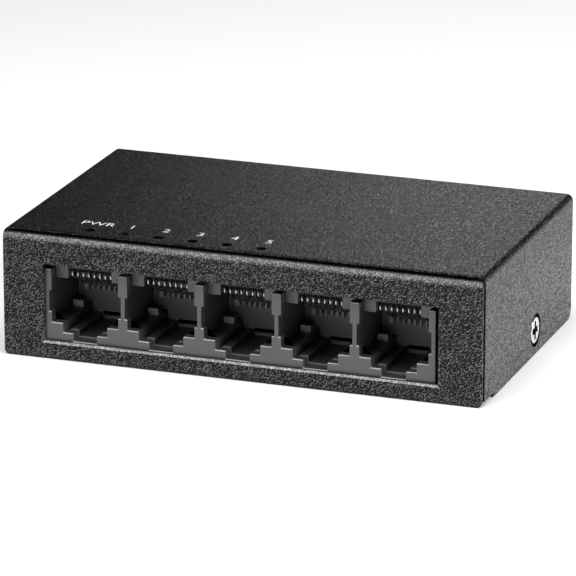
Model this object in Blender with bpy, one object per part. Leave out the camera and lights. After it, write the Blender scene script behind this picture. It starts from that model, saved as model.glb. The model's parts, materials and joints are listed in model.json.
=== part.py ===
"""Desktop network switch: five modular jacks in a folded steel case.

Lengths below are in millimetres and become metres when a mesh is made.
The origin is the centre of the underside, +X is to the right, +Y is to
the back and +Z is up. The jacks face -Y and the power inlet faces +Y.
"""
import math

import bmesh
import bpy
from mathutils import Matrix, Vector

MM = 0.001
GAP = 0.3
ROUND = 24

# Case
WIDTH = 86.8
DEPTH = 52.5
HEIGHT = 22.7
SHEET = 0.8
COVER_BEND = 1.2
COVER_SETBACK = 1.2
COVER_NOTCH_DEPTH = 6.4
COVER_NOTCH_HEIGHT = 0.8
COVER_CORNER = 2.0
FACE_MARGIN = 0.15
FACE_TOP = 22.2
FACE_CORNER = 0.9
FACE_SIDE_EDGE = 0.5
FACE_TOP_EDGE = 0.75
TRAY_HALF_WIDTH = 42.2
TRAY_TOP = 21.5
LIP_DEPTH = 2.6
FLOOR_RELIEF = 1.6

# Jack opening in the front face, and the block of jacks behind it
WINDOW_WIDTH = 71.1
WINDOW_LOW = 3.13
WINDOW_HIGH = 16.95
PORT_COUNT = 5
PORT_PITCH = 13.97
BLOCK_CENTRE = -0.5
BLOCK_SETBACK = 0.9
BLOCK_WIDTH = 70.7
BLOCK_LOW = 2.4
BLOCK_HIGH = 15.95
BLOCK_LENGTH = 16.6
BLOCK_EAR = 1.7
BLOCK_EAR_START = 7.0
BLOCK_SHELF = 1.3
BLOCK_SHELF_HIGH = 7.4
FRAME_LENGTH = 1.9
CAVITY_LENGTH = 13.6
RELIEF = 0.05
LATCH_FLOOR = 3.3
LATCH_HALF = 2.15
PIT_END = 2.7
FLOOR_HEIGHT = 4.6
LEDGE_LOW = 4.72
LEDGE_HALF = 4.05
RAIL_HEIGHT = 6.4
MOUTH_HALF = 6.1
GROOVE_LOW = 8.3
GROOVE_HIGH = 12.1
GROOVE_HALF = 6.6
STOP_HIGH = 7.25
STOP_START = 10.0
STOP_LENGTH = 2.0

# Contact carrier and spring wires of one jack, depths from the block's face
WIRE_COUNT = 8
WIRE_PITCH = 1.02
WIRE_SIZE = 0.36
SLOT_WIDTH = 0.72
COMB_HALF = 6.3
COMB_START = 2.5
COMB_END = 3.6
COMB_LOW = 13.75
COMB_ROOF = 15.45
COMB_OPENING_HALF = 4.0
COMB_OPENING_TOP = 15.65
REAR_COMB_START = 11.5
REAR_COMB_END = 13.3
REAR_COMB_LOW = 9.05
REAR_COMB_HALF = 4.7
PIVOT_DEPTH = 4.25
PIVOT_HEIGHT = 14.87
PIVOT_SIZE = 0.5
LOOP_CENTRE = (4.0, 14.4)
LOOP_RADIUS = 0.6
WIRE_END = (11.9, 9.9)

# Circuit board
BOARD_LOW = 3.0
BOARD_HIGH = 4.6
BOARD_HALF = 41.0
BOARD_FRONT = 5.4
BOARD_BACK = 51.2
BOARD_BAY_BACK = 17.8
BOARD_NOTCH_FRONT = 26.6
BOARD_NOTCH_BACK = 34.8
BOARD_NOTCH_HALF = 36.6
BOARD_SCREW_X = 38.0
BOARD_SCREW_DEPTHS = (21.5, 46.5)

# Indicators on the top face
LED_COUNT = 6
LED_FIRST_X = -28.42
LED_PITCH = 6.24
LED_HOLE_DEPTH = 3.9
LED_HOLE_RADIUS = 0.75
LED_BOARD_DEPTH = 20.0
LIGHT_TIP_HEIGHT = 20.4

# Fasteners
COVER_SCREW_DEPTH = 30.7
COVER_SCREW_HEIGHT = 4.34
SCREW_HEAD_RADIUS = 2.32
COUNTERSINK_RADIUS = 2.65
SHANK_RADIUS = 1.2
SHANK_HOLE_RADIUS = 1.5

# Power inlet at the back
JACK_X = 27.0
JACK_WIDTH = 9.0
JACK_LENGTH = 14.0
JACK_HEIGHT = 11.0
JACK_BORE_RADIUS = 3.2
JACK_PIN_RADIUS = 1.0

# Wall-hanging keyholes in the underside
KEYHOLE_X = 25.0
KEYHOLE_DEPTH = 33.0
KEYHOLE_RADIUS = 3.4
KEYHOLE_SLOT_HALF = 1.8
KEYHOLE_SLOT_LENGTH = 7.0

FRONT = -DEPTH / 2
BLOCK_FACE = FRONT + BLOCK_SETBACK
PORT_CENTRES = [BLOCK_CENTRE + PORT_PITCH * (i - (PORT_COUNT - 1) / 2) for i in range(PORT_COUNT)]
LED_CENTRES = [LED_FIRST_X + LED_PITCH * i for i in range(LED_COUNT)]

# name: colour, roughness, metallic
FINISHES = {
    "case_paint": ((0.018, 0.018, 0.019), 0.45, 0.0),
    "port_plastic": ((0.090, 0.090, 0.092), 0.42, 0.0),
    "insert_plastic": ((0.080, 0.080, 0.082), 0.45, 0.0),
    "contact_metal": ((0.74, 0.72, 0.68), 0.26, 1.0),
    "board_laminate": ((0.010, 0.110, 0.045), 0.40, 0.0),
    "chip_resin": ((0.020, 0.020, 0.022), 0.55, 0.0),
    "clear_plastic": ((0.86, 0.88, 0.90), 0.12, 0.0),
    "led_resin": ((0.80, 0.80, 0.74), 0.30, 0.0),
    "screw_steel": ((0.62, 0.62, 0.64), 0.25, 1.0),
    "plated_brass": ((0.70, 0.66, 0.58), 0.30, 1.0),
    "sink_aluminium": ((0.60, 0.61, 0.63), 0.38, 1.0),
    "pad_silicone": ((0.42, 0.47, 0.55), 0.80, 0.0),
    "capacitor_can": ((0.72, 0.73, 0.75), 0.30, 1.0),
    "ferrite": ((0.045, 0.045, 0.050), 0.70, 0.0),
}


def clear_scene():
    for item in list(bpy.data.objects):
        bpy.data.objects.remove(item)


def finish_material(slot):
    """The shared material of one finish."""
    if slot in bpy.data.materials:
        return bpy.data.materials[slot]
    colour, roughness, metallic = FINISHES[slot]
    material = bpy.data.materials.new(slot)
    material.use_nodes = True
    shader = material.node_tree.nodes["Principled BSDF"]
    shader.inputs["Base Color"].default_value = (*colour, 1.0)
    shader.inputs["Roughness"].default_value = roughness
    shader.inputs["Metallic"].default_value = metallic
    return material


def solid(bm):
    """An unnamed object from a bmesh drawn in millimetres."""
    bmesh.ops.recalc_face_normals(bm, faces=bm.faces)
    bmesh.ops.scale(bm, vec=(MM, MM, MM), verts=bm.verts)
    mesh = bpy.data.meshes.new("solid")
    bm.to_mesh(mesh)
    bm.free()
    item = bpy.data.objects.new("solid", mesh)
    bpy.context.collection.objects.link(item)
    return item


def box(low, high):
    """A rectangular block between two corners."""
    size = Vector(high) - Vector(low)
    middle = (Vector(high) + Vector(low)) / 2
    bm = bmesh.new()
    bmesh.ops.create_cube(bm, size=1.0)
    bmesh.ops.scale(bm, vec=size, verts=bm.verts)
    bmesh.ops.translate(bm, vec=middle, verts=bm.verts)
    return solid(bm)


def loft(loops):
    """A closed body through outlines that have the same number of points."""
    bm = bmesh.new()
    rings = [[bm.verts.new(point) for point in loop] for loop in loops]
    for near, far in zip(rings, rings[1:]):
        for i in range(len(near)):
            bm.faces.new((near[i - 1], near[i], far[i], far[i - 1]))
    bm.faces.new(rings[0])
    bm.faces.new(rings[-1])
    return solid(bm)


def prism(outline, axis, low, high):
    """An outline swept along X, Y or Z; the outline holds the other two axes in order."""
    place = {
        "X": lambda a, b, c: (c, a, b),
        "Y": lambda a, b, c: (a, c, b),
        "Z": lambda a, b, c: (a, b, c),
    }[axis]
    return loft([[place(a, b, level) for a, b in outline] for level in (low, high)])


def turned(profile, centre, axis, segments=ROUND):
    """A profile of (radius, height) pairs turned about an axis through a centre."""
    turns = {"X": Matrix.Rotation(math.pi / 2, 4, "Y"), "Y": Matrix.Rotation(-math.pi / 2, 4, "X")}
    bm = bmesh.new()
    rings = []
    for radius, height in profile:
        angles = [2 * math.pi * i / segments for i in range(segments)]
        rings.append([bm.verts.new((radius * math.cos(a), radius * math.sin(a), height)) for a in angles])
    for near, far in zip(rings, rings[1:]):
        for i in range(segments):
            bm.faces.new((near[i - 1], near[i], far[i], far[i - 1]))
    bm.faces.new(rings[0])
    bm.faces.new(rings[-1])
    turn = turns.get(axis, Matrix.Identity(4))
    bmesh.ops.transform(bm, matrix=Matrix.Translation(centre) @ turn, verts=bm.verts)
    return solid(bm)


def cylinder(radius, centre, axis, low, high, segments=ROUND):
    """A round bar along an axis, between two heights above the centre."""
    return turned([(radius, low), (radius, high)], centre, axis, segments)


def combine(target, tools, operation):
    """Join or cut tools, one by one, into the target."""
    for tool in tools:
        modifier = target.modifiers.new("boolean", "BOOLEAN")
        modifier.operation = operation
        modifier.solver = "EXACT"
        modifier.object = tool
        graph = bpy.context.evaluated_depsgraph_get()
        result = bpy.data.meshes.new_from_object(target.evaluated_get(graph))
        target.modifiers.clear()
        target.data = result
        bpy.data.objects.remove(tool)
    return target


def join(target, *tools):
    return combine(target, tools, "UNION")


def cut(target, *tools):
    return combine(target, tools, "DIFFERENCE")


def finish(item, name, slot, origin=None):
    """Name a finished piece, give it its material and set its origin."""
    item.name = name
    item.data.name = name
    item.data.materials.clear()
    item.data.materials.append(finish_material(slot))
    item.data.shade_smooth()
    item.data.set_sharp_from_angle(angle=math.radians(35))
    if origin is not None:
        point = Vector(origin) * MM
        item.data.transform(Matrix.Translation(-point))
        item.location = point
    return item


def arc(centre, radius, start, end, steps=4):
    """Points along a circle, between two angles in degrees."""
    points = []
    for i in range(steps + 1):
        angle = math.radians(start + (end - start) * i / steps)
        points.append((centre[0] + radius * math.cos(angle), centre[1] + radius * math.sin(angle)))
    return points


def rounded_rectangle(left, right, low, high, radius, steps=4):
    outline = []
    corners = [
        (right, high, -1, -1, 0),
        (left, high, 1, -1, 90),
        (left, low, 1, 1, 180),
        (right, low, -1, 1, 270),
    ]
    for x, z, inward_x, inward_z, start in corners:
        centre = (x + inward_x * radius, z + inward_z * radius)
        outline += arc(centre, radius, start, start + 90, steps)
    return outline


def make_face_plate():
    """The front face, with its outer edges rolled back, most of all at the top."""
    half = WIDTH / 2 - FACE_MARGIN
    steps = 3
    loops = []
    for i in range(steps + 1):
        turn = math.pi / 2 * i / steps
        side_inset = FACE_SIDE_EDGE * (1 - math.sin(turn))
        top_inset = FACE_TOP_EDGE * (1 - math.sin(turn))
        top = FACE_TOP - top_inset
        left = -half + side_inset
        outline = rounded_rectangle(left, -left, side_inset, top, FACE_CORNER - top_inset, 3)
        loop = []
        for x, z in outline:
            share = min(max((z - top) / FACE_CORNER + 1, 0), 1)
            edge = FACE_SIDE_EDGE + (FACE_TOP_EDGE - FACE_SIDE_EDGE) * share
            loop.append((x, FRONT + edge * (1 - math.cos(turn)), z))
        loops.append(loop)
    loops.append([(x, FRONT + SHEET, z) for x, _, z in loops[-1]])
    return loft(loops)


def make_base_tray():
    """Floor, front face, rear wall, locating lip and side tabs in one folding."""
    half = TRAY_HALF_WIDTH
    back = FRONT + DEPTH
    tray = make_face_plate()
    floor = box((-half, FRONT + SHEET / 2, 0), (half, back - SHEET / 2, SHEET))
    lip_outline = [(-half, SHEET / 2), (-half, TRAY_TOP), (half, TRAY_TOP), (half, SHEET / 2)]
    inner = half - SHEET
    lip_outline += [(inner, SHEET / 2), (inner, TRAY_TOP - SHEET)]
    lip_outline += [(-inner, TRAY_TOP - SHEET), (-inner, SHEET / 2)]
    lip = prism(lip_outline, "Y", FRONT + SHEET / 2, FRONT + LIP_DEPTH)
    bend = arc((back - SHEET, SHEET), SHEET, -90, 0)
    inner_bend = [(back - SHEET, TRAY_TOP - SHEET), (back - 2.6, TRAY_TOP - SHEET), (back - 2.6, TRAY_TOP)]
    wall_outline = [(back - 2 * SHEET, 0)] + bend + [(back, TRAY_TOP)]
    wall_outline += inner_bend[::-1] + [(back - SHEET, SHEET), (back - 2 * SHEET, SHEET)]
    rear = prism(wall_outline, "X", -half, half)
    join(tray, floor, lip, rear)
    tab_front = FRONT + COVER_SCREW_DEPTH - 5.0
    tab_back = FRONT + COVER_SCREW_DEPTH + 5.0
    for side in (-1, 1):
        inside, outside = sorted((side * (half - SHEET), side * half))
        tab = box((inside, tab_front, SHEET / 2), (outside, tab_back, 9.0))
        join(tray, tab)
    cut_tray_openings(tray)
    return finish(tray, "base_tray", "case_paint")


def cut_tray_openings(tray):
    back = FRONT + DEPTH
    window_half = WINDOW_WIDTH / 2
    window_low = (-window_half - 0.1, FRONT - 1, WINDOW_LOW)
    window = box(window_low, (window_half - 0.1, FRONT + 3 * SHEET, WINDOW_HIGH))
    jack_half = JACK_WIDTH / 2 + GAP
    jack_low = BOARD_HIGH
    jack_high = BOARD_HIGH + GAP + JACK_HEIGHT + GAP
    inlet = box((JACK_X - jack_half, back - 2 * SHEET, jack_low), (JACK_X + jack_half, back + 1, jack_high))
    screw_line = (0, FRONT + COVER_SCREW_DEPTH, COVER_SCREW_HEIGHT)
    screw_hole = cylinder(SHANK_HOLE_RADIUS, screw_line, "X", -WIDTH, WIDTH, 16)
    cut(tray, window, inlet, screw_hole)
    for side in (-1, 1):
        inside, outside = sorted((side * (TRAY_HALF_WIDTH - FLOOR_RELIEF), side * (TRAY_HALF_WIDTH + 1)))
        relief_low = (inside, FRONT + LIP_DEPTH, -1)
        cut(tray, box(relief_low, (outside, FRONT + COVER_NOTCH_DEPTH + 0.6, SHEET + 1)))
    for side in (-1, 1):
        centre = (side * KEYHOLE_X, FRONT + KEYHOLE_DEPTH, 0)
        slot_end = (centre[0], centre[1] - KEYHOLE_SLOT_LENGTH, 0)
        entry = cylinder(KEYHOLE_RADIUS, centre, "Z", -1, 2, 20)
        slot_low = (centre[0] - KEYHOLE_SLOT_HALF, slot_end[1], -1)
        slot = box(slot_low, (centre[0] + KEYHOLE_SLOT_HALF, centre[1], 2))
        tip = cylinder(KEYHOLE_SLOT_HALF, slot_end, "Z", -1.2, 2.2, 20)
        cut(tray, entry, slot, tip)


def make_top_cover():
    """The folded top and its two sides."""
    half = WIDTH / 2
    bend = COVER_BEND
    inner = COVER_BEND - SHEET
    left_centre = (-half + bend, HEIGHT - bend)
    right_centre = (half - bend, HEIGHT - bend)
    outline = [(-half, 0)] + arc(left_centre, bend, 180, 90, 5) + arc(right_centre, bend, 90, 0, 5)
    outline += [(half, 0), (half - SHEET, 0)]
    outline += arc(right_centre, inner, 0, 90, 3) + arc(left_centre, inner, 90, 180, 3)
    outline += [(-half + SHEET, 0)]
    back = FRONT + DEPTH
    cover = prism(outline, "Y", FRONT + COVER_SETBACK, back)
    notch = box((-WIDTH, FRONT, -1), (WIDTH, FRONT + COVER_NOTCH_DEPTH, COVER_NOTCH_HEIGHT))
    corner_outline = [(back + 1, -1), (back + 1, COVER_CORNER)]
    corner_outline += arc((back - COVER_CORNER, COVER_CORNER), COVER_CORNER, 0, -90, 5)
    corner_outline += [(back - COVER_CORNER, -1)]
    corner = prism(corner_outline, "X", -WIDTH, WIDTH)
    cut(cover, notch, corner)
    for side in (-1, 1):
        centre = (side * half, FRONT + COVER_SCREW_DEPTH, COVER_SCREW_HEIGHT)
        outer = COUNTERSINK_RADIUS
        profile = [(outer - 1.25 * 1.2, -1.2), (outer + 1.25 * 0.4, 0.4)]
        if side < 0:
            profile = [(radius, -height) for radius, height in profile[::-1]]
        cut(cover, turned(profile, centre, "X"))
    for x in LED_CENTRES:
        centre = (x, FRONT + LED_HOLE_DEPTH, HEIGHT)
        cut(cover, cylinder(LED_HOLE_RADIUS, centre, "Z", -2, 1, 20))
    return finish(cover, "top_cover", "case_paint")


def stepped_mouth(centre, top):
    """Outline of one jack's mouth: latch channel, two ledges, side grooves."""
    right = [
        (LATCH_HALF, LATCH_FLOOR),
        (LATCH_HALF, LEDGE_LOW),
        (LEDGE_HALF, LEDGE_LOW),
        (LEDGE_HALF, RAIL_HEIGHT),
        (MOUTH_HALF, RAIL_HEIGHT),
        (MOUTH_HALF, GROOVE_LOW),
        (GROOVE_HALF, GROOVE_LOW),
        (GROOVE_HALF, GROOVE_HIGH),
        (MOUTH_HALF, GROOVE_HIGH),
        (MOUTH_HALF, top),
    ]
    outline = [(centre + x, z) for x, z in right]
    outline += [(centre - x, z) for x, z in reversed(right)]
    return outline


def cavity_section(centre, channel_floor, floor, top):
    """Outline of one jack's inside: channel, floor and the rails beside it."""
    latch = LATCH_HALF + RELIEF
    right = [
        (latch, channel_floor),
        (latch, floor),
        (LEDGE_HALF + RELIEF, floor),
        (LEDGE_HALF + RELIEF, RAIL_HEIGHT - RELIEF),
        (GROOVE_HALF + RELIEF, RAIL_HEIGHT - RELIEF),
        (GROOVE_HALF + RELIEF, top),
    ]
    outline = [(centre + x, z) for x, z in right]
    outline += [(centre - x, z) for x, z in reversed(right)]
    return outline


def make_port_housing():
    """The gang of five jacks, sunk into the board and resting on it by ears and a shelf."""
    left = BLOCK_CENTRE - BLOCK_WIDTH / 2
    right = BLOCK_CENTRE + BLOCK_WIDTH / 2
    back = BLOCK_FACE + BLOCK_LENGTH
    seat = BOARD_HIGH + GAP
    housing = box((left, BLOCK_FACE, BLOCK_LOW), (right, back, BLOCK_HIGH))
    shelf = box((left + 1, back - 0.5, seat), (right - 1, back + BLOCK_SHELF, BLOCK_SHELF_HIGH))
    ear_low = (left - BLOCK_EAR, BLOCK_FACE + BLOCK_EAR_START, seat)
    ears = box(ear_low, (right + BLOCK_EAR, back - 1, BLOCK_SHELF_HIGH))
    join(housing, shelf, ears)
    frame_end = BLOCK_FACE + FRAME_LENGTH
    pit_end = BLOCK_FACE + PIT_END
    cavity_end = BLOCK_FACE + CAVITY_LENGTH
    for centre in PORT_CENTRES:
        mouth = prism(stepped_mouth(centre, BLOCK_HIGH + 1), "Y", BLOCK_FACE - 1, frame_end)
        pit_outline = cavity_section(centre, LATCH_FLOOR, LATCH_FLOOR + RELIEF, BLOCK_HIGH + 2)
        pit = prism(pit_outline, "Y", frame_end - RELIEF, pit_end)
        rear_outline = cavity_section(centre, LATCH_FLOOR + RELIEF, FLOOR_HEIGHT, BLOCK_HIGH + 3)
        cut(housing, mouth, pit, prism(rear_outline, "Y", pit_end - RELIEF, cavity_end))
        for side in (-1, 1):
            inner = centre + side * (LEDGE_HALF + 2 * RELIEF)
            near, far = sorted((inner, centre + side * (GROOVE_HALF + 0.2)))
            start = BLOCK_FACE + STOP_START
            stop = box((near, start, RAIL_HEIGHT - 0.2), (far, start + STOP_LENGTH, STOP_HIGH))
            join(housing, stop)
    return finish(housing, "port_housing", "port_plastic")


def wire_centres(centre):
    return [centre + WIRE_PITCH * (i - (WIRE_COUNT - 1) / 2) for i in range(WIRE_COUNT)]


def make_contact_carrier(number, centre):
    """The insert that closes a jack's roof: open in front of the wires, slotted behind them."""
    left = centre - COMB_HALF
    right = centre + COMB_HALF
    outline = [
        (COMB_START, COMB_LOW),
        (COMB_END, COMB_LOW),
        (COMB_END, COMB_ROOF),
        (REAR_COMB_END, COMB_ROOF),
        (REAR_COMB_END, BLOCK_HIGH),
        (COMB_START, BLOCK_HIGH),
    ]
    carrier = prism([(BLOCK_FACE + depth, z) for depth, z in outline], "X", left, right)
    rear_low = (centre - REAR_COMB_HALF, BLOCK_FACE + REAR_COMB_START, REAR_COMB_LOW)
    rear_high = (centre + REAR_COMB_HALF, BLOCK_FACE + REAR_COMB_END, COMB_ROOF + 0.2)
    join(carrier, box(rear_low, rear_high))
    front_low = (centre - COMB_OPENING_HALF, BLOCK_FACE + COMB_START - 1, COMB_LOW - 1)
    front_high = (centre + COMB_OPENING_HALF, BLOCK_FACE + COMB_END + 0.5, COMB_OPENING_TOP)
    cut(carrier, box(front_low, front_high))
    half_slot = SLOT_WIDTH / 2
    for x in wire_centres(centre):
        slot_low = (x - half_slot, BLOCK_FACE + REAR_COMB_START - 0.5, REAR_COMB_LOW - 1)
        slot_high = (x + half_slot, BLOCK_FACE + REAR_COMB_END - 0.3, COMB_ROOF - 0.6)
        cut(carrier, box(slot_low, slot_high))
    return finish(carrier, f"port_{number}_carrier", "insert_plastic")


def wire_path():
    """Side view of a spring wire: from its pivot forward, round a loop and down to the back."""
    return arc(LOOP_CENTRE, LOOP_RADIUS, 70, 246, 6) + [WIRE_END]


def thick_line(path, thickness):
    """Outline of a line of even thickness along a path."""
    left = []
    right = []
    for i, point in enumerate(path):
        before = Vector(path[max(i - 1, 0)])
        after = Vector(path[min(i + 1, len(path) - 1)])
        along = (after - before).normalized()
        across = Vector((-along.y, along.x)) * thickness / 2
        left.append(tuple(Vector(point) + across))
        right.append(tuple(Vector(point) - across))
    return left + right[::-1]


def make_contacts(number, centre):
    """Eight spring wires on their pivot bar; the origin is on the pivot axis."""
    outline = [(BLOCK_FACE + depth, z) for depth, z in thick_line(wire_path(), WIRE_SIZE)]
    half_bar = WIRE_PITCH * (WIRE_COUNT - 1) / 2 + WIRE_SIZE / 2
    pivot = Vector((centre, BLOCK_FACE + PIVOT_DEPTH, PIVOT_HEIGHT))
    reach = Vector((half_bar + 0.1, PIVOT_SIZE / 2, PIVOT_SIZE / 2))
    contacts = box(pivot - reach, pivot + reach)
    for x in wire_centres(centre):
        join(contacts, prism(outline, "X", x - WIRE_SIZE / 2, x + WIRE_SIZE / 2))
    return finish(contacts, f"port_{number}_contacts", "contact_metal", pivot)


def make_circuit_board():
    board = box((-BOARD_HALF, FRONT + BOARD_FRONT, BOARD_LOW), (BOARD_HALF, FRONT + BOARD_BACK, BOARD_HIGH))
    bay_left = BLOCK_CENTRE - BLOCK_WIDTH / 2 - GAP
    bay_right = BLOCK_CENTRE + BLOCK_WIDTH / 2 + GAP
    bay_low = (bay_left, FRONT + BOARD_FRONT - 1, BOARD_LOW - 1)
    cut(board, box(bay_low, (bay_right, FRONT + BOARD_BAY_BACK, BOARD_HIGH + 1)))
    for side in (-1, 1):
        inside, outside = sorted((side * BOARD_NOTCH_HALF, side * (BOARD_HALF + 1)))
        low = (inside, FRONT + BOARD_NOTCH_FRONT, BOARD_LOW - 1)
        cut(board, box(low, (outside, FRONT + BOARD_NOTCH_BACK, BOARD_HIGH + 1)))
        for depth in BOARD_SCREW_DEPTHS:
            centre = (side * BOARD_SCREW_X, FRONT + depth, BOARD_LOW)
            cut(board, cylinder(SHANK_HOLE_RADIUS, centre, "Z", -1, 3, 16))
    return finish(board, "circuit_board", "board_laminate")


def cross_recess(centre, axis, facing, reach, width, depth):
    """A cross-shaped driver recess: two bars that narrow towards the bottom."""
    arms = []
    for turn in (0, 90):
        bm = bmesh.new()
        bmesh.ops.create_cube(bm, size=1.0)
        bmesh.ops.scale(bm, vec=(2 * reach, width, 2 * depth), verts=bm.verts)
        for vert in bm.verts:
            if vert.co.z < 0:
                vert.co.x *= 0.45
                vert.co.y *= 0.75
        matrix = Matrix.Rotation(math.radians(turn), 4, "Z")
        if axis == "X":
            matrix = Matrix.Rotation(facing * math.pi / 2, 4, "Y") @ matrix
        bmesh.ops.transform(bm, matrix=Matrix.Translation(centre) @ matrix, verts=bm.verts)
        arms.append(solid(bm))
    return arms


def make_cover_screws():
    for side, name in ((-1, "cover_screw_left"), (1, "cover_screw_right")):
        face = side * (WIDTH / 2 - 0.05)
        centre = (face, FRONT + COVER_SCREW_DEPTH, COVER_SCREW_HEIGHT)
        profile = [(SHANK_RADIUS, -5.6), (SHANK_RADIUS, -1.0), (SHANK_RADIUS + 0.1, -0.95)]
        profile += [(SCREW_HEAD_RADIUS, -0.12), (SCREW_HEAD_RADIUS - 0.1, 0.0)]
        if side < 0:
            profile = [(radius, -height) for radius, height in profile[::-1]]
        screw = turned(profile, centre, "X")
        cut(screw, *cross_recess(centre, "X", side, 1.65, 0.75, 0.9))
        finish(screw, name, "screw_steel")


def make_board_fixings():
    number = 0
    for depth in BOARD_SCREW_DEPTHS:
        for side in (-1, 1):
            number += 1
            foot = (side * BOARD_SCREW_X, FRONT + depth, 0)
            low = SHEET + GAP
            high = BOARD_LOW - GAP
            spacer = cylinder(2.75, foot, "Z", low, high, 6)
            cut(spacer, cylinder(SHANK_HOLE_RADIUS, foot, "Z", 0, BOARD_LOW, 16))
            finish(spacer, f"board_spacer_{number}", "plated_brass")
            head = BOARD_HIGH + GAP
            profile = [(SHANK_RADIUS, low + 0.1), (SHANK_RADIUS, head), (2.4, head)]
            profile += [(2.4, head + 0.8), (2.1, head + 1.3), (1.3, head + 1.6)]
            screw = turned(profile, foot, "Z")
            top = (foot[0], foot[1], head + 1.6)
            cut(screw, *cross_recess(top, "Z", 1, 1.4, 0.55, 1.0))
            finish(screw, f"board_screw_{number}", "screw_steel")


def make_indicators():
    names = ["led_power"] + [f"led_{i}" for i in range(1, LED_COUNT)]
    low = BOARD_HIGH + GAP
    y = FRONT + LED_BOARD_DEPTH
    for name, x in zip(names, LED_CENTRES):
        body = box((x - 1.0, y - 0.65, low), (x + 1.0, y + 0.65, low + 0.5))
        lens = loft([
            [(x - 0.6, y - 0.6, low + 0.4), (x + 0.6, y - 0.6, low + 0.4),
             (x + 0.6, y + 0.6, low + 0.4), (x - 0.6, y + 0.6, low + 0.4)],
            [(x - 0.45, y - 0.45, low + 1.0), (x + 0.45, y - 0.45, low + 1.0),
             (x + 0.45, y + 0.45, low + 1.0), (x - 0.45, y + 0.45, low + 1.0)],
        ])
        finish(join(body, lens), name, "led_resin")


def make_light_guide():
    """Six bent light pipes on one cross bar, from the board to the holes in the top."""
    arm_low = 17.0
    arm_high = 18.6
    leg_low = BOARD_HIGH + GAP + 1.0 + GAP
    leg_front = FRONT + LED_BOARD_DEPTH - 0.8
    leg_back = FRONT + LED_BOARD_DEPTH + 0.8
    tip_depth = FRONT + LED_HOLE_DEPTH
    outline = [
        (tip_depth - 0.8, arm_low),
        (leg_front, arm_low),
        (leg_front, leg_low),
        (leg_back, leg_low),
        (leg_back, arm_high - 0.8),
        (leg_back - 0.8, arm_high),
        (tip_depth - 0.8, arm_high),
    ]
    left = LED_CENTRES[0] - 1.4
    right = LED_CENTRES[-1] + 1.4
    guide = box((left, FRONT + 11.0, arm_low + 0.2), (right, FRONT + 13.5, arm_high - 0.2))
    for x in LED_CENTRES:
        tip = cylinder(0.6, (x, tip_depth, 0), "Z", arm_high - 0.5, LIGHT_TIP_HEIGHT, 16)
        join(guide, prism(outline, "X", x - 0.8, x + 0.8), tip)
    return finish(guide, "light_guide", "clear_plastic")


def make_power_inlet():
    """Barrel inlet: moulded body, centre pin and side spring."""
    back = FRONT + DEPTH
    low = BOARD_HIGH + GAP
    half = JACK_WIDTH / 2
    bore_height = low + JACK_HEIGHT - 4.6
    centre = (JACK_X, back, bore_height)
    body = box((JACK_X - half, back - JACK_LENGTH, low), (JACK_X + half, back - 3.0, low + JACK_HEIGHT - 1.0))
    collar = box((JACK_X - half, back - 3.6, low), (JACK_X + half, back, low + JACK_HEIGHT))
    join(body, collar)
    cut(body, cylinder(JACK_BORE_RADIUS, centre, "Y", -9.6, 1))
    finish(body, "power_inlet_body", "insert_plastic")
    pin_profile = [(JACK_PIN_RADIUS + 0.5, -9.3), (JACK_PIN_RADIUS + 0.5, -8.6), (JACK_PIN_RADIUS, -8.4)]
    pin_profile += [(JACK_PIN_RADIUS, -1.4), (JACK_PIN_RADIUS - 0.4, -0.9)]
    pin = turned(pin_profile, centre, "Y", 20)
    finish(pin, "power_inlet_pin", "plated_brass")
    leaf_path = [(-9.2, -2.62), (-5.4, -2.62), (-4.2, -1.95), (-3.0, -2.5), (-1.6, -2.62)]
    leaf_outline = [(back + y, bore_height + z) for y, z in thick_line(leaf_path, 0.25)]
    leaf = prism(leaf_outline, "X", JACK_X - 0.8, JACK_X + 0.8)
    finish(leaf, "power_inlet_spring", "contact_metal")


def make_transformers():
    low = BOARD_HIGH + GAP
    for number, centre in enumerate(PORT_CENTRES, 1):
        depth = FRONT + 23.4
        body = box((centre - 5.9, depth, low + 0.3), (centre + 5.9, depth + 7.0, low + 5.7))
        for row in (depth - 0.9, depth + 6.8):
            for i in range(8):
                x = centre + 1.27 * (i - 3.5)
                join(body, box((x - 0.22, row, low), (x + 0.22, row + 1.1, low + 1.5)))
        finish(body, f"port_transformer_{number}", "chip_resin")


def leaded_chip(name, centre, size, pins, pitch, height):
    """A flat chip with straight leads out of its two long sides."""
    low = BOARD_HIGH + GAP
    half_x = size[0] / 2
    half_y = size[1] / 2
    x, y = centre
    body = box((x - half_x, y - half_y, low + 0.1), (x + half_x, y + half_y, low + height))
    for row in (y - half_y - 0.8, y + half_y - 0.2):
        for i in range(pins):
            lead = x + pitch * (i - (pins - 1) / 2)
            join(body, box((lead - 0.2, row, low), (lead + 0.2, row + 1.0, low + 0.5)))
    return finish(body, name, "chip_resin")


def make_heat_sink(centre, low):
    """A finned plate over the switch chip."""
    x, y = centre
    fins = 6
    width = 18.0
    base = low + 1.4
    top = low + 6.4
    pitch = (width - 1.0) / (fins - 1)
    outline = [(x - width / 2, low), (x + width / 2, low)]
    for i in reversed(range(fins)):
        left = x - width / 2 + pitch * i
        outline += [(left + 1.0, top), (left, top)]
        if i > 0:
            outline += [(left, base), (left - pitch + 1.0, base)]
    sink = prism(outline, "Y", y - 8.0, y + 8.0)
    return finish(sink, "heat_sink", "sink_aluminium")


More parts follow.
